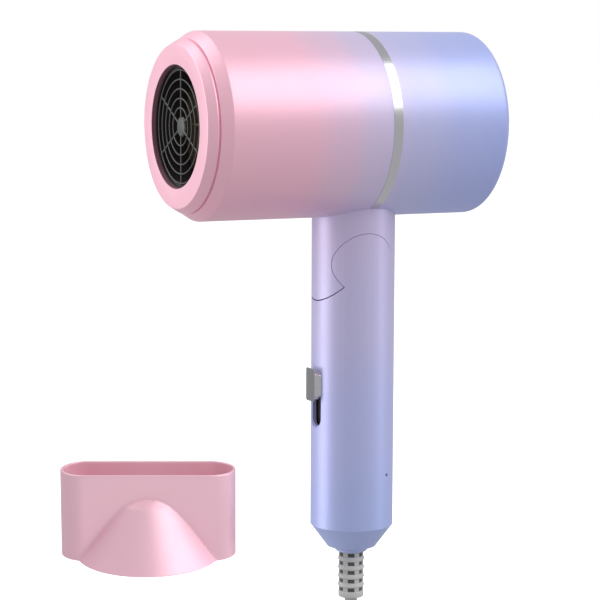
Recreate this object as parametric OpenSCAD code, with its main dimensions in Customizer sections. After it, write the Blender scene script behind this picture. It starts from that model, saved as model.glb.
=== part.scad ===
// Folding hair dryer with a separate concentrator nozzle.
// The origin is the middle of the grip, on the axis of the handle. +Z runs up the
// handle, and the head lies along X with its air outlet at -X.
// The handle stays still. The head folds down over the front of the handle.

/* [Head] */
// Outside diameter of the head
head_d = 82; // [80:0.5:84]
// Front of the head, ahead of the handle's axis
head_front = 86.4; // [85:0.2:88]
// Back of the head, behind the handle's axis
head_back = 56.8; // [56:0.2:60]
// Wall thickness of the head's shells
head_wall = 2.2; // [2:0.1:2.6]
// Diameter of the air outlet
outlet_d = 52.8; // [52.4:0.2:53.4]
// Width of the silver band round the head
band_w = 4.4; // [4:0.2:5]

/* [Hinge] */
// Height of the hinge axis above the middle of the grip
hinge_z = 60; // [60:0.5:61]
// Height of the head's axis above the hinge axis
head_rise = 61.3; // [61.2:0.1:62]
// How far the hinge axis lies ahead of the handle's axis
hinge_lead = 2; // [1.9:0.1:2.2]
// Diameter of the round cheeks on the handle
cheek_d = 27.4; // [27:0.1:27.6]
// Gap between the folding parts
seam = 0.3; // [0.25:0.05:0.4]

/* [Handle] */
// Outside diameter of the handle and the neck
grip_d = 37.3; // [37:0.1:37.6]
// Wall thickness of the handle
grip_wall = 2; // [1.8:0.1:2.2]
// Depth of the handle's tube below the middle of the grip
grip_low = 59.8; // [59:0.2:61]

/* [Switch] */
// Height of the middle of the knob when the dryer is off
knob_z = 5.3; // [5:0.1:6]
// Height of the knob itself
knob_h = 15.1; // [14:0.1:16]
// Travel of the knob from off to full
knob_travel = 11.6; // [11:0.1:12]

/* [Nozzle] */
// Width of the nozzle's slot, outside
nozzle_w = 78; // [76:0.5:80]
// Thickness of the nozzle's slot, outside
nozzle_t = 22.8; // [22:0.2:24]
// Height of the nozzle
nozzle_h = 39.7; // [39:0.1:41]
// Diameter of the nozzle's round base
nozzle_base_d = 65; // [64:0.5:66]

/* [Cord] */
// Diameter of the power cord
cord_d = 5.8; // [5.8:0.1:5.9]

/* [Hidden] */
$fn = 96;

head_r = head_d / 2;
head_in = head_r - head_wall;
head_z = hinge_z + head_rise;
outlet_r = outlet_d / 2;
grip_r = grip_d / 2;
grip_in = grip_r - grip_wall;
cheek_r = cheek_d / 2;
far = 100;              // longer than any cut through a part
thin = 0.05;            // running clearance round a pin

// Head, front to back. Places are on X, measured from the handle's axis.
nose_step = -head_front + 5;      // groove between the nose ring and the front shell
face_r = 35.2;                    // flat front face of the nose ring
nose_r = 37.5;
lip_t = 2;                        // thickness of the front plate round the outlet
band_x0 = 0.5 - band_w / 2;
band_x1 = 0.5 + band_w / 2;
rebate = 1.4;                     // depth of the groove that the band lies in
rear_round = 2.8;
rear_mouth_r = 34.2;
tube_r = 29.3;                    // heat tube, outside
tube_front = -77;
tube_back = -17;
collar_in = 25.2;
coil_pitch = 5.2;
duct_front = -22;
duct_back = 38;
duct_wall = 1.8;
baffle_x = 30;
wire_r = 0.9;
boss_ring_r = 36.2;
boss_turns = [45, 135, 225, 315];
pod_r = 15.4;
motor_r = 13.2;
fan_x0 = 17;
fan_x1 = 33;
fan_r = 28.4;
fan_blades = 9;
stator_vanes = 7;
magnet_r = 2.9;
magnet_ring_r = 31.6;

// Hinge. Places are measured from the hinge axis.
cheek_y = 10;                     // inner face of each cheek
tongue_y = 9.2;                   // half the width of the neck's tongue
rear_seam = 6;                    // height of the level seam at the back
tongue_r = 15.4;
pin_r = 2.5;
pin_half = 15;

// Switch
slot_w = 8.4;
slot_rim = 0.6;
slot_low = -13.9;
slot_high = 11;
slider_x = -15.3;
knob_top = 3.2;                   // how far the knob stands above the handle
knob_base_w = 10.4;
knob_face_w = 7;

// Bottom of the handle
cone_r = 11.1;
cone_z = -70;
boss_r = 7.3;
boss_top = -71.5;
boss_z = -72.6;
relief_r = 5.3;
relief_neck_r = 4.6;
relief_z = -94;
relief_core_r = 3.7;
relief_gap = 1.8;
relief_pitch = 4.05;
relief_first = -74;
relief_rows = 5;
relief_bars = 6;
plate_z = -68;                    // floor inside the end cap
clamp_x = 2.5;                    // face of the cord clamp's posts
clamp_z = -57;
clamp_h = 5;
clamp_t = 3.5;
clamp_screw_y = 10.2;
clamp_screw_r = 1.3;
cord_end_z = -53;                 // end of the cord's sheath inside the handle
grub_r = 0.8;
grub_l = 3.9;
grub_z = -35.6;
grub_turn = -60.4;
grub_deep = 0.4;

// Nozzle, lying beside the dryer
nozzle_at = [-88.9, 25.9, -70.4];
nozzle_turn = -24.9;
nozzle_lean = 5.8;
nozzle_wall = 1.3;
nozzle_bulge = [                  // [radius, height] of the bulge over the round base
    [nozzle_base_d / 2, 0], [25.7, 10], [19, 20], [15.8, 25], [13.6, 27.5], [10, 29.5]
];
nozzle_lip = 1.9;
nozzle_lip_r = 26.1;

// Cord. The route leaves the strain relief, goes down to the floor and into a coil.
cord_r = cord_d / 2;
turn_gap = 5.9;
coil_at = [43, 25];
coil_low = -139.9;
coil_turns = 4;
coil_layers = 2;
coil_mid_r = 34.15;
tie_w = 10;
tie_t = 0.7;
tie_slack = 0.2;                  // room between the tie and the coil
lead_route = [
    [0, 0, -94], [0, 0, -100], [0, 0, -106], [0, 0, -112], [0, 1, -118.5],
    [0, 3.5, -124.5], [0, 7.5, -129.5], [0, 12.5, -133.5], [0, 18.5, -136], [0, 25, -137]
];
tail_route = [
    [43, -18, -131], [33, -18, -131], [24, -18, -131.5], [15, -18, -134],
    [6, -18, -136.5], [-3, -18, -137], [-12, -18, -137], [-20, -18, -135],
    [-28, -18, -131], [-35, -18, -128], [-40, -18, -127]
];
plug_at = [-40, -18, -127];
plug_w = 35;
plug_t = 26;
plug_len = 26;
plug_relief = 16;
plug_pin_r = 2.4;
plug_pin_len = 19;
plug_pin_gap = 19;

coat_pink = [0.96, 0.78, 0.84];
coat_lilac = [0.82, 0.76, 0.88];
coat_blue = [0.71, 0.73, 0.91];
chrome = [0.8, 0.8, 0.8];
dark = [0.16, 0.14, 0.15];
steel = [0.62, 0.63, 0.65];
mica = [0.72, 0.66, 0.52];
board_green = [0.1, 0.35, 0.2];
cord_grey = [0.78, 0.78, 0.77];

// ---- Shared shapes ----

// Turns [radius, x] points round the head's axis.
module head_turned(points)
    translate([0, 0, head_z]) rotate([0, 90, 0]) rotate_extrude() polygon(points);

// A cylinder on the head's axis, from x0 to x1.
module head_cyl(r, x0, x1)
    translate([x0, 0, head_z]) rotate([0, 90, 0]) cylinder(r = r, h = x1 - x0);

// A tube on the head's axis.
module head_pipe(r_out, r_in, x0, x1)
    head_turned([[r_in, x0], [r_out, x0], [r_out, x1], [r_in, x1]]);

// Repeats a child round the head's axis.
module round_head(angles)
    for (a = angles)
        translate([0, 0, head_z]) rotate([a, 0, 0]) translate([0, 0, -head_z]) children();

// Moves to the hinge axis.
module at_hinge() translate([-hinge_lead, 0, hinge_z]) children();

// A cylinder along Y through the hinge axis, from y0 to y1.
module hinge_cyl(r, y0, y1)
    at_hinge() translate([0, y1, 0]) rotate([90, 0, 0]) cylinder(r = r, h = y1 - y0);

// A bent wire: straight rods with round joints.
module wire(points, r)
    for (i = [1 : len(points) - 1]) {
        rod(points[i - 1], points[i], r);
        translate(points[i]) sphere(r = r + 0.03, $fn = 24);
    }

// A rod from point a to point b.
module rod(a, b, r) {
    v = b - a;
    translate(a)
        rotate([0, acos(v[2] / norm(v)), atan2(v[1], v[0])])
            cylinder(r = r, h = norm(v), $fn = 24);
}

// Unit vector.
function unit(v) = v / norm(v);

// Direction of a route at point i.
function heading(route, i) =
    unit(route[min(i + 1, len(route) - 1)] - route[max(i - 1, 0)]);

// A ring of points round a route at point i; side is never parallel to the route.
function ring(route, i, r, sides, side) =
    let (t = heading(route, i), u = unit(cross(side, t)), v = cross(t, u))
    [for (k = [0 : sides - 1])
        route[i] + r * (cos(360 * k / sides) * u + sin(360 * k / sides) * v)];

// A round tube along a route.
module tube_along(route, r, side) {
    sides = 10;
    last = len(route) - 1;
    points = [for (i = [0 : last], p = ring(route, i, r, sides, side)) p];
    walls = [for (i = [0 : last - 1], k = [0 : sides - 1])
        [i * sides + k, i * sides + (k + 1) % sides,
            (i + 1) * sides + (k + 1) % sides, (i + 1) * sides + k]];
    caps = [[for (k = [sides - 1 : -1 : 0]) k], [for (k = [0 : sides - 1]) last * sides + k]];
    polyhedron(points, concat(walls, caps));
}

// A slot outline, w wide and t thick, with round ends.
module stadium(w, t) {
    square([w - t, t], center = true);
    for (s = [-1, 1]) translate([s * (w - t) / 2, 0]) circle(d = t);
}

// ---- Hinge geometry ----

// Distance from the hinge axis to the front of the handle at height y across it.
function reach(y) = sqrt(grip_r * grip_r - y * y) - hinge_lead;

// Radius that the neck's front corner sweeps at y: the corner is cut at 45 degrees.
function sweep_r(y) = sqrt(2) * reach(y);

// Where the swept corner comes inside the cheek.
sweep_y = sqrt(grip_r * grip_r - pow(cheek_r / sqrt(2) + hinge_lead, 2));

// Space swept by the neck's front corner as the head folds.
module swept_corner(gap) {
    steps = 24;
    at_hinge() rotate([-90, 0, 0]) rotate_extrude()
        polygon(concat(
            [[0, -sweep_y]],
            [for (i = [-steps : steps])
                [sweep_r(sweep_y * i / steps) + gap, sweep_y * i / steps]],
            [[0, sweep_y]]
        ));
}

// Everything on the head's side of the seam, except what lies inside the cheeks.
module above_seam(gap) {
    difference() {
        at_hinge() rotate([90, 0, 0]) linear_extrude(height = 2 * far, center = true)
            polygon([
                [0, rear_seam + gap], [0, gap * sqrt(2)], [-far, gap * sqrt(2) - far],
                [-far, far], [far, far], [far, rear_seam + gap]
            ]);
        hinge_cyl(cheek_r + gap, -far, far);
    }
}

// ---- Head ----

module nose_ring() {
    color(coat_pink)
    difference() {
        head_turned([
            [outlet_r, -head_front], [face_r, -head_front], [nose_r, nose_step - 1.35],
            [nose_r, nose_step - 0.9], [nose_r - 0.8, nose_step - 0.4],
            [nose_r - 0.8, nose_step], [36, nose_step], [36, nose_step + 6],
            [33.6, nose_step + 6], [33.6, -head_front + lip_t + 2.4],
            [outlet_r + 1.9, -head_front + lip_t + 2.4],
            [outlet_r + 1.9, -head_front + lip_t], [outlet_r, -head_front + lip_t]
        ]);
        round_head(boss_turns) nose_magnet(0);
    }
}

module nose_magnet(gap)
    translate([-head_front + 1.4 - gap, 0, head_z + magnet_ring_r]) rotate([0, 90, 0])
        cylinder(r = magnet_r, h = 3, $fn = 32);

module nose_magnets() {
    color(steel) round_head(boss_turns) nose_magnet(0);
}

module outlet_collar() {
    color(dark)
    head_turned([
        [collar_in + 0.6, -head_front + lip_t], [outlet_r + 1.9, -head_front + lip_t],
        [outlet_r + 1.9, -head_front + lip_t + 2.4], [33.6, -head_front + lip_t + 2.4],
        [33.6, -head_front + lip_t + 4], [tube_r - 0.8, -head_front + lip_t + 4],
        [tube_r - 0.8, tube_front + 6], [collar_in, tube_front + 6],
        [collar_in, -head_front + lip_t + 1.6],
        [collar_in + 0.6, -head_front + lip_t + 1.6]
    ]);
}

// The grille is set 2 mm behind the front face, in the mouth of the collar.
module outlet_grille() {
    x0 = -head_front + lip_t;
    grille_t = 1.6;
    color([0.3, 0.3, 0.3])
    union() {
        head_cyl(4.4, x0, x0 + grille_t);
        for (r = [8.1, 12.15, 16.2, 20.25, 24.3]) head_pipe(r + 0.4, r - 0.4, x0, x0 + 1.2);
        head_pipe(collar_in + 0.6, collar_in - 0.4, x0, x0 + grille_t);
        round_head([0 : 60 : 300])
            translate([x0, -0.65, head_z + 3]) cube([grille_t, 1.3, collar_in - 3.2]);
    }
}

// Opening in the shells above the neck, for the wires.
module neck_hole() translate([0, 0, hinge_z]) cylinder(r = 9, h = head_rise);

module front_shell() {
    color(coat_pink)
    difference() {
        head_turned([
            [36, nose_step], [38, nose_step], [head_r, nose_step + 4.6], [head_r, band_x0],
            [head_r - rebate, band_x0], [head_r - rebate, 0.5], [head_in, 0.5],
            [head_in, nose_step + 6.4], [36, nose_step + 3.4]
        ]);
        neck_hole();
    }
}

module silver_band() {
    color(chrome)
    difference() {
        head_pipe(head_r, head_r - rebate, band_x0, band_x1);
        translate([0, 0, hinge_z]) cylinder(r = grip_r + 0.2, h = head_rise);
    }
}

// A screw post inside the rear shell, at the top.
module shell_post()
    translate([baffle_x - 9, 0, head_z + boss_ring_r]) rotate([0, 90, 0])
        cylinder(r = 3, h = 9, $fn = 32);

module screw_hole(r, x0, x1)
    translate([x0, 0, head_z + boss_ring_r]) rotate([0, 90, 0])
        cylinder(r = r, h = x1 - x0, $fn = 32);

module rear_shell() {
    back = head_back;
    color(coat_blue)
    difference() {
        union() {
            head_turned(concat(
                [[head_in, 0.5], [head_r - rebate, 0.5], [head_r - rebate, band_x1],
                    [head_r, band_x1]],
                [for (a = [0 : 15 : 90])
                    [head_r - rear_round + rear_round * cos(a),
                        back - rear_round + rear_round * sin(a)]],
                [[rear_mouth_r, back], [rear_mouth_r, back - 2.4], [head_in, back - 2.4]]
            ));
            round_head(boss_turns) shell_post();
        }
        round_head(boss_turns) screw_hole(1.2, baffle_x - 7, baffle_x + 1);
        neck_hole();
    }
}

// The cover over the air inlet: ring slots crossed by eight ribs.
module rear_grille() {
    x0 = head_back - 4.4;
    color(coat_blue)
    difference() {
        union() {
            head_cyl(rear_mouth_r - 0.1, x0, head_back - 0.8);
            head_cyl(rear_mouth_r + 2.4, x0, x0 + 1.9);
        }
        head_cyl(rear_mouth_r - 3, x0 - 1, x0 + 1.9);
        difference() {
            for (r = [7 : 4 : 31]) head_pipe(r + 1.2, r - 1.2, x0, head_back);
            round_head([0 : 45 : 315])
                translate([x0 - 1, -0.8, head_z]) cube([8, 1.6, rear_mouth_r]);
        }
    }
}

module inlet_mesh() {
    x0 = head_back - 5.2;
    color(dark)
    union() {
        head_pipe(rear_mouth_r + 2.4, rear_mouth_r, x0, x0 + 0.8);
        intersection() {
            head_cyl(rear_mouth_r + 1, x0, x0 + 0.8);
            for (i = [-6 : 6], turn = [0, 90])
                translate([0, 0, head_z]) rotate([turn, 0, 0])
                    translate([x0, i * 5 - 0.3, -far / 2]) cube([0.8, 0.6, far]);
        }
    }
}

module heat_tube() {
    color(mica) head_pipe(tube_r, tube_r - 0.8, tube_front, tube_back);
}

module heater_boards() {
    wide = 2 * (tube_r - 1.6);
    color(mica)
    union() {
        translate([-68, -0.5, head_z - wide / 2]) cube([42, 1, wide]);
        translate([-68, -wide / 2, head_z - 0.5]) cube([42, wide, 1]);
    }
}

module heater_coils() {
    color(steel)
    for (i = [0 : 6], r = [15, 22])
        translate([-64 + coil_pitch * i, 0, head_z]) rotate([0, 90, 0])
            rotate_extrude() translate([r + (i % 2) * 1.5, 0]) circle(r = 0.6, $fn = 16);
}

module thermostat() {
    color([0.85, 0.83, 0.78])
    translate([-29.5, 6, head_z + 0.5]) union() {
        cube([3, 14, 4]);
        translate([1.5, 7, 4]) cylinder(r = 1.4, h = 2, $fn = 24);
    }
}

module thermal_fuse() {
    color(steel)
    translate([-28, -12, head_z + 2.1]) rotate([90, 0, 0]) cylinder(r = 1.6, h = 10, $fn = 32);
}

module fan_duct() {
    duct_r = tube_r + duct_wall;
    color(dark)
    difference() {
        union() {
            head_turned([
                [tube_r, duct_front], [duct_r, duct_front], [duct_r, baffle_x],
                [head_in - 0.1, baffle_x], [head_in - 0.1, baffle_x + 2],
                [duct_r, baffle_x + 2], [duct_r + 1.6, duct_back], [duct_r, duct_back],
                [tube_r, baffle_x + 2]
            ]);
            head_pipe(pod_r, pod_r - 1.4, -14, 12);
            round_head([for (i = [0 : stator_vanes - 1]) 360 * i / stator_vanes])
                translate([-6, 0, head_z + pod_r - 0.6]) rotate([0, 0, 24])
                    translate([-8, -0.7, 0]) cube([16, 1.4, tube_r - pod_r + 1.2]);
        }
        round_head(boss_turns) screw_hole(1.7, baffle_x - 1, baffle_x + 3);
    }
}

module duct_screws() {
    color(steel)
    round_head(boss_turns) union() {
        screw_hole(1.2, baffle_x - 6.5, baffle_x + 2);
        difference() {
            screw_hole(2.5, baffle_x + 2, baffle_x + 3.8);
            translate([baffle_x + 3, 0, head_z + boss_ring_r]) {
                cube([2, 3, 0.7], center = true);
                cube([2, 0.7, 3], center = true);
            }
        }
    }
}

module motor() {
    color(steel)
    difference() {
        union() {
            head_cyl(motor_r, -12, 11);
            head_cyl(5, -14, 13);
        }
        head_cyl(1 + thin, -15, 14);
    }
}

module motor_mount() {
    color([0.12, 0.12, 0.13])
    for (x = [-10, 4]) head_pipe(pod_r - 1.4, motor_r, x, x + 5);
}

module motor_shaft() {
    color(chrome) head_cyl(1, -15, fan_x1);
}

module fan_impeller() {
    color([0.2, 0.2, 0.21])
    difference() {
        union() {
            head_turned([
                [0, fan_x0 + 3], [11.5, fan_x0 + 3], [11.5, fan_x0], [13.5, fan_x0],
                [13.5, fan_x1 - 4], [9, fan_x1], [0, fan_x1]
            ]);
            intersection() {
                head_pipe(fan_r, 12, fan_x0, fan_x1 - 2);
                round_head([for (i = [0 : fan_blades - 1]) 360 * i / fan_blades])
                    translate([fan_x0 + 7, 0, head_z + 8]) rotate([0, 0, -38])
                        translate([-14, -0.8, 0]) cube([28, 1.6, fan_r]);
            }
        }
        head_cyl(1, fan_x0 - 1, fan_x1 + 1);
    }
}

// Leads that pass the hinge pin and run on to the heater and to the motor.
module head_wires() {
    floor_z = head_z - head_in;
    color([0.7, 0.2, 0.18])
    for (y = [-3, 3]) {
        wire([[1.9, y, hinge_z - 13], [1.9, y, floor_z + 3], [-6, y * 2, floor_z + 4],
            [-26, y * 2, floor_z + 5.5], [-60, y * 2, floor_z + 5.5]], wire_r);
        wire([[4.4, y, hinge_z - 13], [4.4, y, floor_z + 2.4], [20, y * 2, floor_z + 3.2]],
            wire_r);
    }
}

// ---- Neck and hinge ----

// The neck is a tube that stands under the head. Its tongue turns between the cheeks.
module neck() {
    color(coat_lilac)
    difference() {
        intersection() {
            translate([0, 0, hinge_z - 26]) cylinder(r = grip_r, h = head_rise + 20);
            union() {
                difference() {
                    above_seam(seam / 2);
                    hinge_cyl(cheek_r + seam, -far, seam - cheek_y);
                    hinge_cyl(cheek_r + seam, cheek_y - seam, far);
                }
                tongue();
            }
        }
        neck_bore();
        head_cyl(head_r, -far, far);
        hinge_cyl(pin_r + thin, -far, far);
    }
}

// The part of the neck between the cheeks.
module tongue()
    intersection() {
        at_hinge() translate([-far, -tongue_y, -far]) cube([2 * far, 2 * tongue_y, 2 * far]);
        union() {
            hinge_cyl(tongue_r, -far, far);
            above_seam(seam / 2);
            at_hinge() translate([-cheek_r, -far, 0]) cube([cheek_r + 12, 2 * far, 20]);
        }
    }

// Way through the neck for the wires.
module neck_bore() {
    translate([0, 0, hinge_z + 17]) cylinder(r = grip_in, h = head_rise);
    at_hinge() translate([-11, -7, -10]) cube([22, 14, 30]);
    at_hinge() translate([-4, -7, -20]) cube([12, 14, 20]);
}

module hinge_pin() {
    color(steel) hinge_cyl(pin_r, -pin_half, pin_half);
}

module hinge_washers() {
    color(chrome)
    for (s = [-1, 1])
        difference() {
            hinge_cyl(7, min(s * (tongue_y + 0.05), s * cheek_y),
                max(s * (tongue_y + 0.05), s * cheek_y));
            hinge_cyl(pin_r, -far, far);
        }
}

// ---- Handle ----

// Cut for the switch: a slot with a shallow rim, from z0 to z1 and w wide.
module front_slot(w, x0, x1, extra)
    translate([x0, 0, 0]) rotate([0, 90, 0]) linear_extrude(height = x1 - x0)
        translate([-(slot_low + slot_high) / 2, 0])
            stadium(slot_high - slot_low + 2 * extra, w + 2 * extra);

module handle_tube() {
    low = -grip_low;
    color(coat_lilac)
    difference() {
        translate([0, 0, low]) cylinder(r = grip_r, h = grip_low + hinge_z + 16);
        translate([0, 0, low - 1]) cylinder(r = grip_in, h = grip_low + hinge_z - 17);
        intersection() {
            translate([0, 0, low]) cylinder(r = grip_in, h = far * 2);
            translate([-far, -cheek_y, low]) cube([2 * far, 2 * cheek_y, 2 * far]);
        }
        above_seam(0);
        hinge_gap();
        front_slot(slot_w, -far, 0, 0);
        front_slot(slot_w, -far, -grip_r + 0.75, slot_rim);
        hinge_cyl(pin_r, -pin_half, pin_half);
        at_chassis_screw() cylinder(r = grub_r + thin, h = 8, center = true, $fn = 24);
    }
}

// Room between and below the cheeks, where the neck turns.
module hinge_gap() {
    hinge_cyl(tongue_r + seam, -cheek_y, cheek_y);
    difference() {
        intersection() {
            swept_corner(seam);
            translate([-2 * hinge_lead, 0, hinge_z - far]) cylinder(r = grip_r + seam, h = far);
        }
        difference() {
            hinge_cyl(cheek_r, -far, far);
            at_hinge() translate([-far, -cheek_y, -far]) cube([2 * far, 2 * cheek_y, 2 * far]);
        }
    }
}

// Bottom of the handle, with two posts inside for the cord clamp.
module end_cap() {
    color(coat_blue)
    difference() {
        union() {
            rotate_extrude() polygon([
                [grip_in - 0.05, -grip_low + 6], [grip_in - 0.05, -grip_low],
                [grip_r, -grip_low], [cone_r, cone_z], [boss_r + 0.1, boss_top],
                [boss_r, boss_z + 0.6], [boss_r - 0.6, boss_z], [relief_neck_r, boss_z],
                [relief_neck_r, plate_z], [8.6, plate_z], [grip_in - 2, -grip_low + 0.5],
                [grip_in - 2, -grip_low + 6]
            ]);
            for (s = [-1, 1])
                translate([-4.5, s * clamp_screw_y - 1.8, plate_z + 1.5])
                    cube([4.5 + clamp_x, 3.6, clamp_z + clamp_h / 2 - plate_z - 1.5]);
        }
        clamp_holes();
    }
}

// Screw holes through the cord clamp and into its posts.
module clamp_holes()
    for (s = [-1, 1])
        translate([-3, s * clamp_screw_y, clamp_z]) rotate([0, 90, 0])
            cylinder(r = clamp_screw_r, h = clamp_x + 3 + clamp_t, $fn = 24);

// Half-round frame that slides into the handle and carries the board and the switch.
module chassis() {
    color([0.85, 0.85, 0.86])
    difference() {
        translate([0, 0, -50]) cylinder(r = grip_in - 0.1, h = 76);
        translate([0, 0, -48]) cylinder(r = grip_in - 1.8, h = far);
        translate([-far - 0.9, -far, -51]) cube([far, 2 * far, 2 * far]);
        translate([-1, -5, -51]) cube([14, 10, 5]);
        at_chassis_screw() cylinder(r = grub_r, h = 12, center = true, $fn = 24);
    }
}

// Outside face of the handle where the small grub screw sits, facing outwards.
module at_chassis_screw()
    translate([0, 0, grub_z]) rotate([0, 90, grub_turn]) translate([0, 0, grip_r]) children();

// Headless screw with a six-sided socket, a little below the handle's surface.
module chassis_screw() {
    color(steel)
    at_chassis_screw() translate([0, 0, -grub_deep]) difference() {
        translate([0, 0, -grub_l]) cylinder(r = grub_r, h = grub_l, $fn = 24);
        translate([0, 0, -grub_r]) cylinder(r = grub_r / 2, h = grub_l, $fn = 6);
    }
}

module circuit_board() {
    color(board_green) translate([-2.5, -11, -46]) cube([1.6, 22, 68]);
}

module board_parts() {
    color([0.2, 0.3, 0.6])
    translate([-0.9, 0, 0]) union() {
        translate([0, -7, -30]) cube([7, 14, 12]);
        for (y = [-6, -2, 2, 6])
            translate([1.6, y, -10]) cylinder(r = 1.6, h = 8, $fn = 32);
        translate([0, -4, 4]) cube([3, 8, 8]);
    }
}

module switch_body() {
    color(dark)
    difference() {
        translate([-13.6, -6, -14]) cube([11.1, 12, 32]);
        translate([-14, -2, slot_low]) cube([4, 4, slot_high - slot_low + 3]);
    }
}

// Dark strip behind the slot. It carries the knob and covers the slot all the way.
module switch_slider() {
    color(dark)
    union() {
        translate([slider_x, -5.6, slot_low - 2]) cube([1.2, 11.2, 28 + knob_travel]);
        translate([slider_x + 1, -1.6, knob_z - 2]) cube([3, 3.2, 4]);
    }
}

module switch_knob() {
    face_x = -grip_r - knob_top;
    half = knob_h / 2;
    color(chrome)
    union() {
        difference() {
            translate([0, 0, knob_z - half]) linear_extrude(height = knob_h)
                polygon([
                    [-grip_r + 0.7, -knob_base_w / 2], [-grip_r - 0.4, -knob_base_w / 2],
                    [face_x + 0.5, -knob_face_w / 2 - 0.3], [face_x, -knob_face_w / 2],
                    [face_x, knob_face_w / 2], [face_x + 0.5, knob_face_w / 2 + 0.3],
                    [-grip_r - 0.4, knob_base_w / 2], [-grip_r + 0.7, knob_base_w / 2]
                ]);
            translate([0, 0, -far]) cylinder(r = grip_r + 0.15, h = 2 * far);
        }
        translate([-grip_r - 1, -3, knob_z - 4])
            cube([grip_r + 1 + slider_x, 6, 8]);
    }
}

// Two leads from the cord's end to the board, and two from the board up to the hinge.
module handle_wires() {
    color([0.7, 0.2, 0.18])
    for (s = [-1, 1]) {
        wire([[0, s * 1.4, cord_end_z], [3, s * 3, -47], [3, s * 3, -40], [0, s * 3, -36]],
            wire_r);
        wire([[0, s * 3, 15], [3, s * 3, 22], [3, s * 3, hinge_z - 25]], wire_r);
    }
}

module cord_clamp() {
    across = 2 * clamp_screw_y + 3.6;
    color(dark)
    difference() {
        translate([clamp_x, -across / 2, clamp_z - clamp_h / 2])
            cube([clamp_t, across, clamp_h]);
        translate([0, 0, clamp_z - clamp_h]) cylinder(r = cord_r, h = 2 * clamp_h);
        clamp_holes();
    }
}

module clamp_screws() {
    color(steel)
    union() {
        clamp_holes();
        for (s = [-1, 1])
            translate([clamp_x + clamp_t, s * clamp_screw_y, clamp_z])
                rotate([0, 90, 0]) cylinder(r = 2.4, h = 1.6, $fn = 32);
    }
}

// Ribbed sleeve moulded on the cord: rings held apart by six small bars.
module strain_relief() {
    top = plate_z + 2.5;
    color(cord_grey)
    union() {
        difference() {
            rotate_extrude() polygon([
                [0, top], [8.2, top], [8.2, plate_z], [relief_neck_r, plate_z],
                [relief_neck_r, boss_z], [relief_r, boss_z], [relief_r, relief_z + 0.7],
                [relief_r - 0.7, relief_z], [0, relief_z]
            ]);
            for (i = [0 : relief_rows - 1])
                translate([0, 0, relief_first - i * relief_pitch - relief_gap / 2])
                    difference() {
                        cylinder(r = relief_r + 1, h = relief_gap);
                        translate([0, 0, -1]) cylinder(r = relief_core_r, h = relief_gap + 2);
                        for (k = [0 : relief_bars - 1])
                            rotate([0, 0, 360 * k / relief_bars + 33])
                                translate([0, -0.55, -1]) cube([far, 1.1, relief_gap + 2]);
                    }
        }
        translate([0, 0, top]) cylinder(r = 3.6, h = 2);
        translate([0, 0, top]) cylinder(r = cord_r, h = cord_end_z - top);
    }
}

// ---- Cord and plug ----

module cord_lead() {
    color(cord_grey) tube_along(lead_route, cord_r, [1, 0, 0]);
}

module cord_tail() {
    color(cord_grey) tube_along(tail_route, cord_r, [0, 1, 0]);
}

// Outer shape of the coil: four turns across and two layers high.
module cord_coil() {
    half = coil_turns * turn_gap / 2;
    color(cord_grey)
    translate([coil_at[0], coil_at[1], coil_low]) rotate_extrude()
        translate([coil_mid_r, coil_layers * turn_gap / 2]) square(
            [2 * half, coil_layers * turn_gap], center = true);
}

module cord_tie() {
    across = coil_turns * turn_gap;
    high = coil_layers * turn_gap;
    color(dark)
    translate([coil_at[0] + coil_mid_r, coil_at[1], coil_low + high / 2])
        rotate([90, 0, 0]) linear_extrude(height = tie_w, center = true) difference() {
            square([across + tie_slack + 2 * tie_t, high + 2 * tie_t], center = true);
            square([across + tie_slack, high], center = true);
        }
}

// Two-pin plug with an oval face, lying on its flat side. Its pins point to -X.
module plug_body() {
    color(cord_grey)
    translate(plug_at) rotate([0, -90, 0]) difference() {
        union() {
            cylinder(r1 = 4, r2 = 5.4, h = plug_relief);
            translate([0, 0, plug_relief - 4])
                cylinder(r1 = 6, r2 = plug_t / 2, h = 7);
            translate([0, 0, plug_relief + 3]) rotate([0, 0, 90])
                linear_extrude(height = plug_len - 3) stadium(plug_w, plug_t);
        }
        translate([0, 0, plug_relief + plug_len - 9]) plug_pin_pair(10);
    }
}

module plug_pin_pair(length)
    for (s = [-1, 1])
        translate([0, s * plug_pin_gap / 2, 0]) cylinder(r = plug_pin_r, h = length, $fn = 48);

module plug_pins() {
    color(steel)
    translate(plug_at) rotate([0, -90, 0]) translate([0, 0, plug_relief + plug_len - 9])
        plug_pin_pair(9 + plug_pin_len);
}

// ---- Nozzle ----

// Moves to the nozzle's own frame: slot along X, mouth up.
module at_nozzle()
    translate(nozzle_at) rotate([0, 0, nozzle_turn]) rotate([nozzle_lean, 0, 0]) children();

// Bulge that widens down to the round base.
module nozzle_bulge_solid(inset)
    rotate_extrude() polygon(concat(
        [for (p = nozzle_bulge) [p[0] - inset, p[1]]], [[0, nozzle_bulge[5][1]], [0, 0]]
    ));

module nozzle() {
    color(coat_pink)
    at_nozzle() difference() {
        union() {
            linear_extrude(height = nozzle_h) stadium(nozzle_w, nozzle_t);
            nozzle_bulge_solid(0);
            translate([0, 0, -nozzle_lip]) cylinder(r = nozzle_lip_r, h = nozzle_lip + 1);
        }
        translate([0, 0, 2]) linear_extrude(height = nozzle_h)
            stadium(nozzle_w - 2 * nozzle_wall, nozzle_t - 2 * nozzle_wall);
        translate([0, 0, -nozzle_lip - 1]) cylinder(r = nozzle_lip_r - 1.3, h = 6);
        translate([0, 0, 2]) intersection() {
            translate([0, 0, -2]) nozzle_bulge_solid(1.8);
            cylinder(r = far, h = far);
        }
        for (a = boss_turns) rotate([0, 0, a]) nozzle_magnet();
    }
}

module nozzle_magnet()
    translate([28.9, 0, 0]) cylinder(r = 2, h = 1.4, $fn = 32);

module nozzle_magnets() {
    color(steel) at_nozzle() for (a = boss_turns) rotate([0, 0, a]) nozzle_magnet();
}

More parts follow.
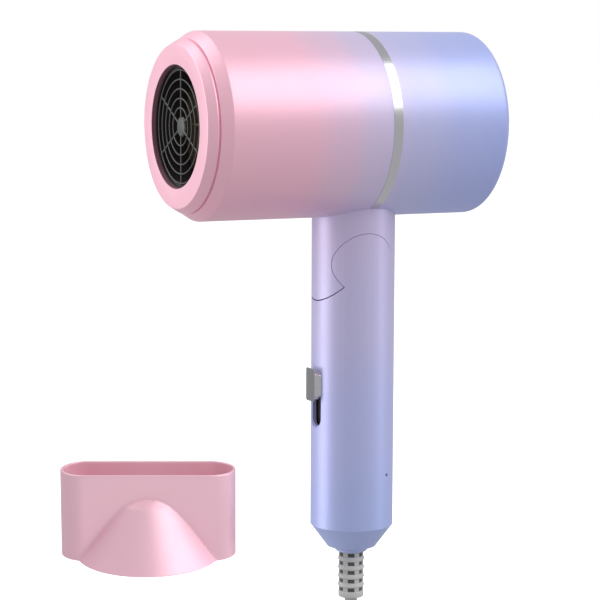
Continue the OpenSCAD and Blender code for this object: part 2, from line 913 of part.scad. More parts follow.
nose_ring();
outlet_collar();
outlet_grille();
nose_magnets();
front_shell();
silver_band();
rear_shell();
rear_grille();
inlet_mesh();
heat_tube();
heater_boards();
heater_coils();
thermostat();
thermal_fuse();
fan_duct();
duct_screws();
motor();
motor_mount();
motor_shaft();
fan_impeller();
head_wires();
neck();
hinge_pin();
hinge_washers();
handle_tube();
end_cap();
chassis();
chassis_screw();
circuit_board();
board_parts();
switch_body();
switch_slider();
switch_knob();
handle_wires();
cord_clamp();
clamp_screws();
strain_relief();
cord_lead();
cord_coil();
cord_tie();
cord_tail();
plug_body();
plug_pins();
nozzle();
nozzle_magnets();
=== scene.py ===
"""Looks of the folding hair dryer. Lengths are in metres in the CAD model's own frame."""
import math

import bmesh
import bpy
from mathutils import Matrix, Vector


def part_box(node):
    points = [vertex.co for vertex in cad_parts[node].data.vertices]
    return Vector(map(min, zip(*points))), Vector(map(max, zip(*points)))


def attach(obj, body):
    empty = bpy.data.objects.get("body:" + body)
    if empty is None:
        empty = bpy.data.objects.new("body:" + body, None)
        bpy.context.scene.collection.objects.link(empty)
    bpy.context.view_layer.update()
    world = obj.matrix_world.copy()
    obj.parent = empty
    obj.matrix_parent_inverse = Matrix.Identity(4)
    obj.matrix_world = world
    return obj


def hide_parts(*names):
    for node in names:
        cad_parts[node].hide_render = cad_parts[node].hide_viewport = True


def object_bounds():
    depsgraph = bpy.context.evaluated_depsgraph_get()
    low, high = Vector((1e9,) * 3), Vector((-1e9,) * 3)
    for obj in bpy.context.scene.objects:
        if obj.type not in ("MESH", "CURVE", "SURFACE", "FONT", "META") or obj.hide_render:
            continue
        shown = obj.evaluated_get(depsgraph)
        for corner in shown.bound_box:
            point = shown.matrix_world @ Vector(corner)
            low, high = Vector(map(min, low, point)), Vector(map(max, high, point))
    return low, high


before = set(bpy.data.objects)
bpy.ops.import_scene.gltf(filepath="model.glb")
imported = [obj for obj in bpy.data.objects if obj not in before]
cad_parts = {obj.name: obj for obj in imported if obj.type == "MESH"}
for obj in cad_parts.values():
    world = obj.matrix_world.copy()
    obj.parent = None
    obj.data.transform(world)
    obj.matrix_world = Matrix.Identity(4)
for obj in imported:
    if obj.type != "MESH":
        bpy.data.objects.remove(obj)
cad_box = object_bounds()

MM = 0.001
TURN = 2 * math.pi

# Places that the CAD model gives
head_low, head_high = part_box("rear_shell")
HEAD_Z = (head_low.z + head_high.z) / 2
HEAD_R = (head_high.z - head_low.z) / 2
FRONT_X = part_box("nose_ring")[0].x
STEP_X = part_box("front_shell")[0].x
BACK_X = head_high.x
BAND_X0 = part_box("silver_band")[0].x
CAP_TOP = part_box("handle_tube")[0].z


# ---- Camera, lights and floor ----

CAMERA_AT = (-0.4404, -0.8442, 0.1576)
CAMERA_TURN = (-26.12, 6.91, 0.21)  # azimuth, elevation and roll in degrees
LENS = 127.8
ROOM_LIGHT = 0.54
ROOM_TINT = (0.97, 0.97, 1.0, 1)
WHITE = (1, 1, 1, 1)
FLOOR_HALF = 6
FLOOR_GLOW = 0.72


def build_camera():
    """The photograph's viewing angle: from the front left, a little above the middle."""
    azimuth, elevation, roll = (math.radians(turn) for turn in CAMERA_TURN)
    back = Vector((
        math.sin(azimuth) * math.cos(elevation),
        -math.cos(azimuth) * math.cos(elevation),
        math.sin(elevation),
    ))
    right = Vector((math.cos(azimuth), math.sin(azimuth), 0))
    up = back.cross(right)
    tilted_right = math.cos(roll) * right + math.sin(roll) * up
    tilted_up = math.cos(roll) * up - math.sin(roll) * right
    data = bpy.data.cameras.new("camera")
    data.sensor_width = 36
    data.lens = LENS
    camera = bpy.data.objects.new("camera", data)
    turn = Matrix((tilted_right, tilted_up, back)).transposed().to_4x4()
    camera.matrix_world = Matrix.Translation(CAMERA_AT) @ turn
    bpy.context.scene.collection.objects.link(camera)
    bpy.context.scene.camera = camera


def soft_light(name, azimuth, elevation, distance, size, power, aim):
    """A rectangular soft box. Azimuth is turned from the front (-Y) towards +X, in degrees."""
    a, e = math.radians(azimuth), math.radians(elevation)
    away = Vector((math.sin(a) * math.cos(e), -math.cos(a) * math.cos(e), math.sin(e)))
    data = bpy.data.lights.new(name, "AREA")
    data.shape = "RECTANGLE"
    data.size, data.size_y = size
    data.energy = power
    light = bpy.data.objects.new(name, data)
    light.matrix_world = (
        Matrix.Translation(Vector(aim) + away * distance)
        @ away.to_track_quat("Z", "Y").to_matrix().to_4x4()
    )
    bpy.context.scene.collection.objects.link(light)
    return light


def light_group(name, pieces, state):
    """A collection of pieces that a light includes or excludes."""
    group = bpy.data.collections.new(name)
    for piece in pieces:
        group.objects.link(piece)
    for member in group.collection_objects:
        member.light_linking.link_state = state
    return group


def build_studio(nozzle_piece, knob_piece, handle):
    """Dim white room light, soft boxes and a white floor under the cord.

    Some soft boxes light only the handle or only the nozzle, as the photograph shows them.
    """
    world = bpy.data.worlds.new("studio")
    bpy.context.scene.world = world
    world.use_nodes = True
    nodes, links = world.node_tree.nodes, world.node_tree.links
    fill = nodes["Background"]
    fill.inputs["Color"].default_value = ROOM_TINT
    fill.inputs["Strength"].default_value = ROOM_LIGHT
    seen = nodes.new("ShaderNodeBackground")
    seen.inputs["Color"].default_value = WHITE
    seen.inputs["Strength"].default_value = 1.0
    path = nodes.new("ShaderNodeLightPath")
    mix = nodes.new("ShaderNodeMixShader")
    links.new(path.outputs["Is Camera Ray"], mix.inputs["Fac"])
    links.new(fill.outputs["Background"], mix.inputs[1])
    links.new(seen.outputs["Background"], mix.inputs[2])
    links.new(mix.outputs["Shader"], nodes["World Output"].inputs["Surface"])

    middle = (-0.02, 0, 0.06)
    grip_middle = (0, 0, 0)
    nozzle_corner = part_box("nozzle")[0]
    soft_light("key_light", 36, 44, 1.5, (1.5, 1.2), 14, middle)
    soft_light("top_light", -132, 52, 1.5, (1.0, 0.8), 6, middle)
    side = soft_light("side_light", -116, 14, 1.4, (0.9, 1.2), 11, middle)
    grip = soft_light("grip_light", -114, 0, 1.4, (0.8, 1.6), 10.5, grip_middle)
    edge = soft_light("edge_light", 58, 8, 1.4, (0.5, 1.2), 2.4, grip_middle)
    edge.data.color = (0.82, 0.92, 1.0)
    mouth = soft_light("nozzle_light", 80, 6, 1.4, (0.6, 0.6), 11, nozzle_corner)
    bounce = soft_light("floor_bounce", -26, -52, 1.4, (0.8, 0.8), 3.6, nozzle_corner)
    side.light_linking.receiver_collection = light_group(
        "not_side_lit", handle + [nozzle_piece, knob_piece], "EXCLUDE")
    grip.light_linking.receiver_collection = light_group("grip_lit", handle, "INCLUDE")
    edge.light_linking.receiver_collection = light_group("edge_lit", handle, "INCLUDE")
    mouth.light_linking.receiver_collection = light_group("nozzle_lit", [nozzle_piece], "INCLUDE")
    bounce.light_linking.receiver_collection = light_group("low_lit", [nozzle_piece], "INCLUDE")
    grip.light_linking.blocker_collection = light_group("not_shading", [nozzle_piece], "EXCLUDE")

    floor_z = cad_box[0][2]
    mesh = bpy.data.meshes.new("floor")
    corners = [(-FLOOR_HALF, -FLOOR_HALF), (FLOOR_HALF, -FLOOR_HALF),
               (FLOOR_HALF, FLOOR_HALF), (-FLOOR_HALF, FLOOR_HALF)]
    mesh.from_pydata([(x, y, floor_z) for x, y in corners], [], [(0, 1, 2, 3)])
    floor = bpy.data.objects.new("floor", mesh)
    bpy.context.scene.collection.objects.link(floor)
    floor.visible_diffuse = False
    floor.visible_glossy = False
    floor.visible_shadow = False
    paint = new_material("floor_paint")
    shader = paint.node_tree.nodes["Principled BSDF"]
    shader.inputs["Base Color"].default_value = (0.8, 0.8, 0.8, 1)
    shader.inputs["Roughness"].default_value = 0.9
    shader.inputs["Specular IOR Level"].default_value = 0.0
    shader.inputs["Emission Color"].default_value = WHITE
    shader.inputs["Emission Strength"].default_value = FLOOR_GLOW
    mesh.materials.append(paint)


# ---- Materials ----

def srgb(code):
    """A linear colour from a six-digit hex colour."""
    parts = [int(code[i:i + 2], 16) / 255 for i in (0, 2, 4)]
    return [c / 12.92 if c <= 0.04045 else ((c + 0.055) / 1.055) ** 2.4 for c in parts] + [1]


def new_material(name):
    material = bpy.data.materials.new(name)
    material.use_nodes = True
    return material


class Paint:
    """A node material built step by step around one Principled shader."""

    def __init__(self, name, roughness, metallic=0.0, specular=0.5):
        self.material = new_material(name)
        self.tree = self.material.node_tree
        self.shader = self.tree.nodes["Principled BSDF"]
        self.shader.inputs["Roughness"].default_value = roughness
        self.shader.inputs["Metallic"].default_value = metallic
        self.shader.inputs["Specular IOR Level"].default_value = specular
        self.place = self.add("ShaderNodeTexCoord").outputs["Object"]

    def add(self, kind, **settings):
        node = self.tree.nodes.new(kind)
        for key, value in settings.items():
            setattr(node, key, value)
        return node

    def link(self, source, target):
        self.tree.links.new(source, target)

    def set(self, name, value):
        self.shader.inputs[name].default_value = value

    def scaled(self, scale):
        """The place on the object, stretched by scale along X, Y and Z."""
        mapping = self.add("ShaderNodeMapping")
        mapping.inputs["Scale"].default_value = scale
        self.link(self.place, mapping.inputs["Vector"])
        return mapping.outputs["Vector"]

    def noise(self, size, detail=4.0, stretch=(1, 1, 1)):
        """Noise with features of about size metres."""
        node = self.add("ShaderNodeTexNoise")
        node.inputs["Scale"].default_value = 1 / size
        node.inputs["Detail"].default_value = detail
        self.link(self.scaled(stretch), node.inputs["Vector"])
        return node.outputs["Fac"]

    def span(self, value, low, high, out_low, out_high):
        """Maps value from low..high to out_low..out_high."""
        node = self.add("ShaderNodeMapRange")
        for name, number in zip(("From Min", "From Max", "To Min", "To Max"),
                                (low, high, out_low, out_high)):
            node.inputs[name].default_value = number
        self.link(value, node.inputs["Value"])
        return node.outputs["Result"]

    def axis(self, index):
        node = self.add("ShaderNodeSeparateXYZ")
        self.link(self.place, node.inputs[0])
        return node.outputs[index]

    def ramp(self, value, stops):
        """Colours along value: stops are (position, hex colour)."""
        node = self.add("ShaderNodeValToRGB")
        band = node.color_ramp
        band.interpolation = "EASE"
        while len(band.elements) < len(stops):
            band.elements.new(1)
        for element, (position, code) in zip(band.elements, stops):
            element.position = position
            element.color = srgb(code)
        self.link(value, node.inputs["Fac"])
        return node.outputs["Color"]

    def shade(self, colour, amount, low, high):
        """Varies a colour's brightness between low and high."""
        node = self.add("ShaderNodeHueSaturation")
        self.link(self.span(amount, 0.3, 0.7, low, high), node.inputs["Value"])
        if isinstance(colour, str):
            node.inputs["Color"].default_value = srgb(colour)
        else:
            self.link(colour, node.inputs["Color"])
        return node.outputs["Color"]

    def colour(self, value):
        if isinstance(value, str):
            self.shader.inputs["Base Color"].default_value = srgb(value)
        else:
            self.link(value, self.shader.inputs["Base Color"])

    def vary_roughness(self, amount, low, high):
        self.link(self.span(amount, 0.3, 0.7, low, high), self.shader.inputs["Roughness"])

    def bump(self, height, depth, strength=1.0):
        node = self.add("ShaderNodeBump")
        node.inputs["Strength"].default_value = strength
        node.inputs["Distance"].default_value = depth
        self.link(height, node.inputs["Height"])
        self.link(node.outputs["Normal"], self.shader.inputs["Normal"])


def coat(name, axis, low, high, stops):
    """Satin pearl paint whose colour fades along one axis of the object."""
    paint = Paint(name, 0.42, metallic=0.35, specular=0.5)
    fade = paint.ramp(paint.span(paint.axis(axis), low, high, 0, 1), stops)
    pearl = paint.noise(0.00035, 2.0)
    paint.colour(paint.shade(fade, pearl, 0.985, 1.015))
    paint.vary_roughness(paint.noise(0.02, 3.0), 0.4, 0.45)
    paint.set("Sheen Weight", 0.08)
    paint.set("Sheen Roughness", 0.4)
    paint.bump(paint.noise(0.0006, 2.0), 0.00001, 0.4)
    return paint.material


def moulded(name, colour, roughness=0.55, grain=0.0004, depth=0.00002):
    """Plain moulded plastic or rubber with a fine grain."""
    paint = Paint(name, roughness)
    paint.colour(paint.shade(colour, paint.noise(0.006, 3.0), 0.94, 1.05))
    paint.vary_roughness(paint.noise(0.003, 3.0), roughness - 0.06, roughness + 0.06)
    paint.bump(paint.noise(grain, 2.0), depth, 0.6)
    return paint.material


def metal(name, colour, roughness, stretch=(1, 1, 1)):
    """Metal with fine brushing across the axis that has the largest stretch."""
    paint = Paint(name, roughness, metallic=1.0)
    brushed = paint.noise(0.0005, 3.0, stretch)
    paint.colour(paint.shade(colour, brushed, 0.95, 1.04))
    paint.vary_roughness(brushed, roughness - 0.05, roughness + 0.05)
    paint.bump(brushed, 0.000006, 0.4)
    return paint.material


# ---- Cord route, as in the CAD model (millimetres) ----

LEAD = [
    (0, 0, -94), (0, 0, -100), (0, 0, -106), (0, 0, -112), (0, 1, -118.5),
    (0, 3.5, -124.5), (0, 7.5, -129.5), (0, 12.5, -133.5), (0, 18.5, -136), (0, 25, -137),
]
TAIL = [
    (43, -18, -131), (33, -18, -131), (24, -18, -131.5), (15, -18, -134),
    (6, -18, -136.5), (-3, -18, -137), (-12, -18, -137), (-20, -18, -135),
    (-28, -18, -131), (-35, -18, -128), (-40, -18, -127),
]
CORD_D = 5.8
TURN_GAP = 5.9
COIL_AT = (43, 25)
COIL_OUTER = 43.0
COIL_LOW = -136.95
LAYER_TURNS = 4
COIL_TURNS = 7.75
POINTS_A_TURN = 24


def ease(turns):
    """Rises smoothly from 0 to 1 over half a turn."""
    return (1 - math.cos(math.pi * min(max(turns / 0.5, 0), 1))) / 2


def coil_point(turns):
    """The cord's centre after so many turns: inwards in the lower layer, outwards above it."""
    steps_over = range(LAYER_TURNS - 1)
    inward = sum(ease(turns - k - 0.85) for k in steps_over)
    outward = sum(ease(turns - k - LAYER_TURNS - 0.65) for k in steps_over)
    radius = COIL_OUTER - TURN_GAP * (inward - outward)
    lift = TURN_GAP * ease(turns - LAYER_TURNS + 0.25)
    angle = math.pi - TURN * turns
    return (
        COIL_AT[0] + radius * math.cos(angle), COIL_AT[1] + radius * math.sin(angle),
        COIL_LOW + lift,
    )


def build_cord(material, plug_pieces):
    """The whole mains lead as one curve: down from the sleeve, round the coil, on to the plug."""
    steps = int(COIL_TURNS * POINTS_A_TURN)
    coil = [coil_point(i / POINTS_A_TURN) for i in range(1, steps)]
    route = [Vector(p) * MM for p in LEAD + coil + TAIL]
    data = bpy.data.curves.new("power_cord", "CURVE")
    data.dimensions = "3D"
    data.bevel_depth = CORD_D / 2 * MM
    data.bevel_resolution = 8
    data.resolution_u = 5
    data.use_fill_caps = True
    spline = data.splines.new("BEZIER")
    spline.bezier_points.add(len(route) - 1)
    for point, place in zip(spline.bezier_points, route):
        point.co = place
        point.handle_left_type = point.handle_right_type = "AUTO"
    data.materials.append(material)
    cord = bpy.data.objects.new("power_cord", data)
    bpy.context.scene.collection.objects.link(cord)
    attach(cord, "handle")
    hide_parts("cord_lead", "cord_coil", "cord_tail")


# ---- Mesh tools ----

def add_object(name, bm, materials, body, replaced=(), sharp=32):
    """A smooth-shaded piece from a bmesh, with edges over sharp degrees left crisp."""
    bmesh.ops.remove_doubles(bm, verts=bm.verts, dist=1e-7)
    bmesh.ops.recalc_face_normals(bm, faces=bm.faces)
    for face in bm.faces:
        face.smooth = True
    for edge in bm.edges:
        edge.smooth = not edge.is_manifold or edge.calc_face_angle(0) < math.radians(sharp)
    mesh = bpy.data.meshes.new(name)
    bm.to_mesh(mesh)
    bm.free()
    for material in materials:
        mesh.materials.append(material)
    piece = bpy.data.objects.new(name, mesh)
    bpy.context.scene.collection.objects.link(piece)
    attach(piece, body)
    if replaced:
        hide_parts(*replaced)
    return piece


def rounded(corners, steps=5):
    """A closed outline from (x, y, radius) corners, with each corner of radius > 0 an arc."""
    points = []
    for i, (x, y, radius) in enumerate(corners):
        here = Vector((x, y))
        if radius <= 0:
            points.append(here)
            continue
        before = (Vector(corners[i - 1][:2]) - here).normalized()
        after = (Vector(corners[(i + 1) % len(corners)][:2]) - here).normalized()
        half = before.angle(after) / 2
        centre = here + (before + after).normalized() * (radius / math.sin(half))
        reach = radius / math.tan(half)
        start, end = here + before * reach - centre, here + after * reach - centre
        first = math.atan2(start.y, start.x)
        sweep = (math.atan2(end.y, end.x) - first + math.pi) % TURN - math.pi
        for k in range(steps + 1):
            angle = first + sweep * k / steps
            points.append(centre + radius * Vector((math.cos(angle), math.sin(angle))))
    return points


def skin(bm, loops, closed=True):
    """Faces between rings of points; closed also joins the last ring to the first."""
    rings = [[bm.verts.new(p) for p in loop] for loop in loops]
    pairs = list(zip(rings, rings[1:])) + ([(rings[-1], rings[0])] if closed else [])
    for a, b in pairs:
        for k in range(max(len(a), len(b))):
            corners = [a[k % len(a)], a[(k + 1) % len(a)], b[(k + 1) % len(b)], b[k % len(b)]]
            unique = list(dict.fromkeys(corners))
            if len(unique) > 2:
                bm.faces.new(unique)
    if not closed:
        for ring in (rings[0], rings[-1]):
            if len(ring) > 2:
                bm.faces.new(ring)


def lathe(bm, outline, to_place, segments=160, closed=True):
    """Turns an outline of (radius, along) in millimetres round the axis that to_place gives."""
    skin(bm, [
        [to_place(radius * MM, along * MM, TURN * k / segments)
         for k in range(segments if radius > 1e-6 else 1)]
        for radius, along in outline
    ], closed)


def rod(bm, start, end, radius, sides=12):
    """A round bar between two points."""
    along = (end - start).normalized()
    u = along.orthogonal().normalized()
    v = along.cross(u)
    ring = [radius * (math.cos(TURN * k / sides) * u + math.sin(TURN * k / sides) * v)
            for k in range(sides)]
    skin(bm, [[place + r for r in ring] for place in (start, end)], closed=False)


SEAM_FILL = 0.08 * MM  # how far the handle and the neck grow


def swell_node(node, name, materials, body, amount):
    """Replaces a CAD node by a copy grown outwards a little, which narrows the seams round it."""
    bm = bmesh.new()
    bm.from_mesh(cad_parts[node].data)
    bmesh.ops.remove_doubles(bm, verts=bm.verts, dist=1e-6)
    bm.normal_update()
    moves = [vert.normal * amount for vert in bm.verts]
    for vert, move in zip(bm.verts, moves):
        vert.co += move
    return add_object(name, bm, materials, body, [node], sharp=25)


def on_head(radius, along, angle):
    return Vector((along, radius * math.cos(angle), HEAD_Z + radius * math.sin(angle)))


def on_grip(radius, along, angle):
    return Vector((radius * math.cos(angle), radius * math.sin(angle), along))


# ---- Nose ----

MOUTH_R = 26.4
FACE_R = 35.2
NOSE_R = 37.5
SPIGOT_R = 36      # the part of the ring that goes into the shell
GROOVE_R = 36.9
RING_IN = 33.6
MOUTH_WALL = 1.9
LIP_T = 2
LIP_STEP = 2.4     # thickness of the ring behind the lip
BAND_REBATE = 1.4  # depth of the groove under the silver band
SHELL_WALL = 2.2
SHELL_SPLIT = 0.5  # where the front shell ends, on X
RING_GAP = 4.05
GRILLE_RINGS = [RING_GAP * k for k in range(2, 7)]
RING_WIRE_R = 0.32
SPOKE_R = 0.4
SPOKES = 6


def build_nose(coat_paint, mouth_shade_paint):
    """The nose ring and the front shell, with the soft edges of moulded and painted parts. The
    mouth's inner wall gets a darker pink as painted shade.

    The CAD model's magnet pockets and wire hole are left out: none of them can be seen.
    """
    front, step = FRONT_X / MM, STEP_X / MM
    bm = bmesh.new()
    lathe(bm, rounded([
        (MOUTH_R, front, 0.35), (FACE_R, front, 0.5), (NOSE_R, step - 1.35, 0.5),
        (NOSE_R, step - 0.8, 0.25), (GROOVE_R, step - 0.35, 0.15), (GROOVE_R, step, 0),
        (SPIGOT_R, step, 0), (SPIGOT_R, step + 6, 0), (RING_IN, step + 6, 0),
        (RING_IN, front + LIP_T + LIP_STEP, 0),
        (MOUTH_R + MOUTH_WALL, front + LIP_T + LIP_STEP, 0),
        (MOUTH_R + MOUTH_WALL, front + LIP_T, 0), (MOUTH_R, front + LIP_T, 0),
    ]), on_head)
    ring = add_object("nose_ring_skin", bm, [coat_paint, mouth_shade_paint], "head",
                      ["nose_ring"])
    # Faces of the mouth's inner wall take the darker pink: painted shade in the opening.
    for face in ring.data.polygons:
        reach = math.hypot(face.center.y, face.center.z - HEAD_Z) / MM
        if reach < MOUTH_R + 0.2:
            face.material_index = 1

    band = BAND_X0 / MM
    outer = HEAD_R / MM
    bm = bmesh.new()
    lathe(bm, rounded([
        (SPIGOT_R, step, 0), (38, step, 0.35), (outer, step + 4.6, 1.2), (outer, band, 0.2),
        (outer - BAND_REBATE, band, 0), (outer - BAND_REBATE, SHELL_SPLIT, 0),
        (outer - SHELL_WALL, SHELL_SPLIT, 0), (outer - SHELL_WALL, step + 6.4, 0),
        (SPIGOT_R, step + 3.4, 0),
    ]), on_head)
    add_object("front_shell_skin", bm, [coat_paint], "head", ["front_shell"])


def build_grille(wire_paint, rim_paint):
    """Round wires welded to a small domed hub, in a dark rim."""
    back = FRONT_X / MM + LIP_T
    bm = bmesh.new()
    for ring_r in GRILLE_RINGS:
        circle = [(ring_r + RING_WIRE_R * math.cos(TURN * k / 10),
                   back + 0.6 + RING_WIRE_R * math.sin(TURN * k / 10)) for k in range(10)]
        lathe(bm, circle, on_head, 96)
    for k in range(SPOKES):
        angle = math.radians(90 + 360 / SPOKES * k)
        rod(bm, on_head(3 * MM, (back + 0.9) * MM, angle),
            on_head(25.3 * MM, (back + 0.9) * MM, angle), SPOKE_R * MM)
    lathe(bm, [(0, back + 0.1), (2.6, back + 0.25), (4, back + 0.7), (4.4, back + 1.2),
               (4.4, back + 1.6), (0, back + 1.6)], on_head, 48, closed=False)
    add_object("grille_wires", bm, [wire_paint], "head", ["outlet_grille"])
    bm = bmesh.new()
    lathe(bm, rounded([(24.9, back + 0.9, 0.2), (25.8, back + 0.9, 0), (25.8, back + 1.6, 0),
                       (24.9, back + 1.6, 0.2)]), on_head, 128)
    add_object("grille_rim", bm, [rim_paint], "head")


# ---- Switch knob ----

def build_knob(paint, face_paint):
    """A faceted slider knob: a domed face plate on a body with cut corners."""
    low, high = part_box("switch_knob")
    face_x, middle = low.x / MM, (low.z + high.z) / 2
    sections = [  # out from the face, half width, half height, cut corner
        (4.4, 5.1, 6.4, 1.9), (2.9, 5.1, 6.4, 1.9), (0.95, 3.75, 6.8, 1.8),
        (0.8, 4.0, 7.4, 0.7), (0.5, 4.0, 7.5, 0.7), (0.25, 3.4, 6.9, 0.6), (0, 1.6, 3.4, 0.4),
    ]
    loops = []
    for out, w, h, cut in sections:
        quarter = [(w - cut, h), (w, h - cut)]
        outline = quarter + [(w, cut - h), (w - cut, -h)]
        outline += [(-y, z) for y, z in reversed(outline)]
        loops.append([Vector(((face_x + out) * MM, y * MM, middle + z * MM)) for y, z in outline])
    bm = bmesh.new()
    skin(bm, loops, closed=False)
    knob = add_object("knob_plate", bm, [paint, face_paint], "switch",
                      ["switch_knob"], sharp=14)
    for face in knob.data.polygons:
        if face.normal.x < -0.8:
            face.material_index = 1
    bevel = knob.modifiers.new("edges", "BEVEL")
    bevel.width = 0.12 * MM
    bevel.segments = 2
    bevel.angle_limit = math.radians(12)
    return knob


# ---- Ribbed sleeve ----

SLEEVE_R = 5.75
CORE_R = 4.8
RIB_PITCH = 4.05
RIB_GAP = 1.8
FIRST_GAP = -74
SLEEVE_TOP = -70.0
SLEEVE_LOW = -94.0
SLEEVE_BORE = 3.1
GAP_ROWS = 5
BARS = 6
BAR_R = 5.15
BAR_HALF = 1.2


def build_sleeve(paint, core_shade_paint):
    """Rounded ribs on a core painted dark grey as the shade in the gaps, joined in each gap by
    six bars of three rods each.

    The part inside the end cap is left out.
    """
    gaps = [FIRST_GAP - i * RIB_PITCH for i in range(GAP_ROWS)]
    corners = [(SLEEVE_R - 0.9, SLEEVE_TOP, 0)]
    for z in gaps:
        corners += [(SLEEVE_R, z + 1.6, 0.3), (SLEEVE_R, z + RIB_GAP / 2, 0.35),
                    (CORE_R, z + RIB_GAP / 2, 0), (CORE_R, z - RIB_GAP / 2, 0),
                    (SLEEVE_R, z - RIB_GAP / 2, 0.35)]
    corners += [(SLEEVE_R, SLEEVE_LOW, 0.7), (SLEEVE_BORE, SLEEVE_LOW, 0),
                (SLEEVE_BORE, SLEEVE_TOP, 0)]
    bm = bmesh.new()
    lathe(bm, rounded(corners, 4), on_grip, 72)
    for z in gaps:
        for k in range(BARS):
            angle = math.radians(360 / BARS * k + 33)
            for side in (-0.8, 0, 0.8):
                turn = angle + side / SLEEVE_R
                rod(bm, on_grip(BAR_R * MM, (z - BAR_HALF) * MM, turn),
                    on_grip(BAR_R * MM, (z + BAR_HALF) * MM, turn), 0.5 * MM, 8)
    sleeve = add_object("sleeve_ribs", bm, [paint, core_shade_paint], "handle",
                        ["strain_relief"])
    # Faces on the core take the dark grey: painted shade in the gaps between the ribs.
    for face in sleeve.data.polygons:
        if math.hypot(face.center.x, face.center.y) < (CORE_R + 0.01) * MM:
            face.material_index = 1


# ---- Nozzle ----

NOZZLE_AT = Vector((-88.9, 25.9, -70.4)) * MM
NOZZLE_TURN = Matrix.Rotation(math.radians(-24.9), 4, "Z") @ Matrix.Rotation(
    math.radians(5.8), 4, "X")
NOZZLE_W, NOZZLE_T, NOZZLE_H = 78, 22.8, 39.7
NOZZLE_WALL = 1.3
BELL_WALL = 1.8
SPIGOT_OUT = 26.1
SPIGOT_IN = 24.8
SPIGOT_H = 1.9
BELL = [  # radius and height of the round base's outline
    (32.5, 0), (25.9, 10), (19.2, 20), (15.6, 25), (12.9, 27.6), (9, 29.6), (4, 30.6), (0, 30.8),
]
NOZZLE_SEGMENTS = 288
RIM_TURNS = (30, 60, 90, 120, 150)  # steps of the rounded rim, in degrees
COAT_LOW, COAT_HIGH = -0.08, -0.03  # heights between which the nozzle's colour fades


def bell_r(height):
    """Radius of the round base's bell at a height, or 0 above it."""
    for (r0, z0), (r1, z1) in zip(BELL, BELL[1:]):
        if height <= z1:
            return r0 + (r1 - r0) * (height - z0) / (z1 - z0)
    return 0


def slot_reach(angle, inset):
    """Distance from the middle to the slot's outline, a stadium, in one direction."""
    half_t = NOZZLE_T / 2 - inset
    flat = NOZZLE_W / 2 - NOZZLE_T / 2
    c, s = abs(math.cos(angle)), abs(math.sin(angle))
    if c * half_t <= flat * s:
        return half_t / s
    return flat * c + math.sqrt(half_t ** 2 - (flat * s) ** 2)


def nozzle_loop(height, inset, bell, blend=0.9):
    """One ring of the nozzle: the slot and the bell, softly blended where they meet."""
    points = []
    for k in range(NOZZLE_SEGMENTS):
        angle = TURN * k / NOZZLE_SEGMENTS
        slot = slot_reach(angle, inset)
        gap = max(blend - abs(slot - bell), 0) / blend if bell > 0 else 0
        reach = max(slot, bell) + gap * gap * blend / 4
        place = Vector((reach * math.cos(angle), reach * math.sin(angle), height)) * MM
        points.append(NOZZLE_AT + NOZZLE_TURN @ place)
    return points


def build_nozzle(paint):
    """The slot-shaped nozzle with its bell, a rounded rim and a thin inner wall."""
    def round_loop(radius, height):
        angles = [TURN * k / NOZZLE_SEGMENTS for k in range(NOZZLE_SEGMENTS)]
        return [
            NOZZLE_AT + NOZZLE_TURN @ (
                Vector((radius * math.cos(angle), radius * math.sin(angle), height)) * MM
            )
            for angle in angles
        ]

    heights = [0.3 + (NOZZLE_H - 1) * k / 72 for k in range(73)]
    edge = 0.2
    loops = [
        round_loop(SPIGOT_IN, -SPIGOT_H), round_loop(SPIGOT_OUT - edge, -SPIGOT_H),
        round_loop(SPIGOT_OUT, edge - SPIGOT_H), round_loop(SPIGOT_OUT, 0),
        nozzle_loop(0, 0.3, bell_r(0) - 0.3),
    ]
    loops += [nozzle_loop(z, 0, bell_r(z)) for z in heights]
    for turn in RIM_TURNS:
        a = math.radians(turn)
        half = NOZZLE_WALL / 2
        loops.append(nozzle_loop(NOZZLE_H - half + half * math.sin(a),
                                 half - half * math.cos(a), 0))
    loops += [nozzle_loop(z, NOZZLE_WALL, bell_r(z) - BELL_WALL)
              for z in reversed(heights) if z > 2]
    loops += [round_loop(SPIGOT_IN, 2)]
    bm = bmesh.new()
    skin(bm, loops)
    return add_object("nozzle_skin", bm, [paint], "nozzle", ["nozzle"])


# ---- Cord tie ----

STRAP_T = 0.9
STRAP_CORNER = 2.2


def build_tie(paint):
    """A hook-and-loop strap round the coil, with its free end lapped over the top."""
    low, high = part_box("cord_tie")
    middle = (low + high) / 2

    def loops_of(half_x, z0, z1, half_y, skin_t):
        """Rings of a strap section: outside, then inside."""
        rings = []
        for inset, y in ((0.15, -half_y), (0, 0.15 - half_y), (0, half_y - 0.15),
                         (0.15, half_y), (skin_t, half_y), (skin_t, -half_y)):
            x, radius = half_x - inset, STRAP_CORNER - inset
            outline = rounded([(-x, z0 + inset, radius), (x, z0 + inset, radius),
                               (x, z1 - inset, radius), (-x, z1 - inset, radius)], 6)
            rings.append([Vector((middle.x + p.x * MM, middle.y + y * MM, p.y * MM))
                          for p in outline])
        return rings

    half_x = (high.x - low.x) / 2 / MM
    half_y = (high.y - low.y) / 2 / MM
    bm = bmesh.new()
    skin(bm, loops_of(half_x, low.z / MM, high.z / MM, half_y, STRAP_T))
    tab = []
    for z, inset in ((-0.1, 0), (0.35, 0), (0.5, 0.15)):
        outline = rounded([(-4, inset - half_y + 0.6, 0.4), (8 - inset, inset - half_y + 0.6, 3),
                           (8 - inset, half_y - 0.6 - inset, 3), (-4, half_y - 0.6 - inset, 0.4)])
        tab.append([Vector((middle.x + p.x * MM, middle.y + p.y * MM, high.z + z * MM))
                    for p in outline])
    skin(bm, tab, closed=False)
    return add_object("tie_strap", bm, [paint], "handle", ["cord_tie"])


# ---- Start ----

bpy.context.scene.view_settings.view_transform = "Standard"
build_camera()

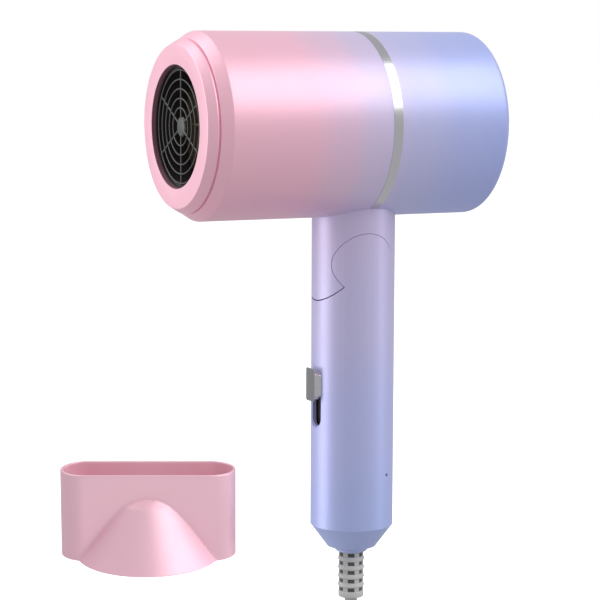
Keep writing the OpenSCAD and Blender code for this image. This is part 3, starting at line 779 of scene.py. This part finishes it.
barrel_coat = coat("barrel_coat", 0, FRONT_X, BACK_X, [
    (0, "f6bfcf"), (0.30, "f3bfd1"), (0.44, "e3c2d9"), (0.54, "d3c4e2"), (0.70, "c0c1e9"),
    (0.85, "b3bced"), (1, "adb9ee"),
])
handle_coat = coat("handle_coat", 2, CAP_TOP, HEAD_Z - HEAD_R, [
    (0, "acb8e6"), (0.35, "b6bae6"), (0.7, "c2bcdf"), (1, "c8bcdc"),
])
nozzle_coat = coat("nozzle_coat", 2, COAT_LOW, COAT_HIGH, [(0, "f8c6d5"), (1, "f9cad7")])
dark_plastic = moulded("dark_plastic", "2a2426")
white_plastic = moulded("white_plastic", "dcdcde")
grille_metal = moulded("grille_metal", "4a4a4a", 0.45)
mesh_metal = moulded("mesh_metal", "2b2b2d", 0.5)
rubber = moulded("black_rubber", "161616", 0.7)
cord_grey = moulded("cord_grey", "c4c4c3", 0.5)
chrome = metal("satin_chrome", "d2d2d4", 0.22, (1, 1, 12))
face_metal = metal("knob_face", "a9a9aa", 0.3, (1, 12, 1))
steel = metal("plain_steel", "a6a8ab", 0.35)
mica = moulded("mica_sheet", "8f8062", 0.5)
ceramic = moulded("ceramic", "d8d4c6", 0.6)
board = moulded("solder_mask", "1f5a38", 0.35)
capacitor = moulded("capacitor_sleeve", "34508f", 0.3)
sheath = moulded("wire_sheath", "a8342e", 0.45)
# A darker pink painted as the shade on the mouth's inner wall.
mouth_painted_shade = moulded("mouth_painted_shade", "8a5c69", 0.6)
# Dark grey painted as the shade in the sleeve's gaps.
sleeve_core_shade = moulded("sleeve_painted_shade", "5c5c5a", 0.7)
strap = moulded("tie_strap", "1b1b1d", 0.9, 0.0012, 0.0003)

LOOKS = {
    "nose_ring": barrel_coat, "front_shell": barrel_coat, "rear_shell": barrel_coat,
    "rear_grille": barrel_coat, "outlet_collar": dark_plastic, "outlet_grille": grille_metal,
    "nose_magnets": steel, "silver_band": chrome, "inlet_mesh": mesh_metal,
    "heat_tube": mica, "heater_boards": mica, "heater_coils": steel, "thermostat": ceramic,
    "thermal_fuse": steel, "fan_duct": dark_plastic, "duct_screws": steel, "motor": steel,
    "motor_mount": rubber, "motor_shaft": steel, "fan_impeller": dark_plastic,
    "head_wires": sheath, "neck": handle_coat, "hinge_pin": steel, "hinge_washers": steel,
    "handle_tube": handle_coat, "end_cap": handle_coat, "chassis": white_plastic,
    "chassis_screw": steel, "circuit_board": board, "board_parts": capacitor,
    "switch_body": dark_plastic, "switch_slider": dark_plastic, "switch_knob": chrome,
    "handle_wires": sheath, "cord_clamp": dark_plastic, "clamp_screws": steel,
    "strain_relief": cord_grey, "cord_tie": rubber, "plug_body": cord_grey,
    "plug_pins": steel, "nozzle": nozzle_coat, "nozzle_magnets": steel,
}
for name, look in LOOKS.items():
    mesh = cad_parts[name].data
    mesh.materials.clear()
    mesh.materials.append(look)

build_nose(barrel_coat, mouth_painted_shade)
build_grille(grille_metal, dark_plastic)
knob = build_knob(chrome, face_metal)
build_sleeve(cord_grey, sleeve_core_shade)
nozzle_skin = build_nozzle(nozzle_coat)
build_cord(cord_grey, [
    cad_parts["plug_body"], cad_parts["plug_pins"], build_tie(strap),
])
handle_pieces = [
    swell_node("handle_tube", "handle_skin", [handle_coat], "handle", SEAM_FILL),
    swell_node("neck", "neck_skin", [handle_coat], "head", SEAM_FILL),
    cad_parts["end_cap"],
]
build_studio(nozzle_skin, knob, handle_pieces)
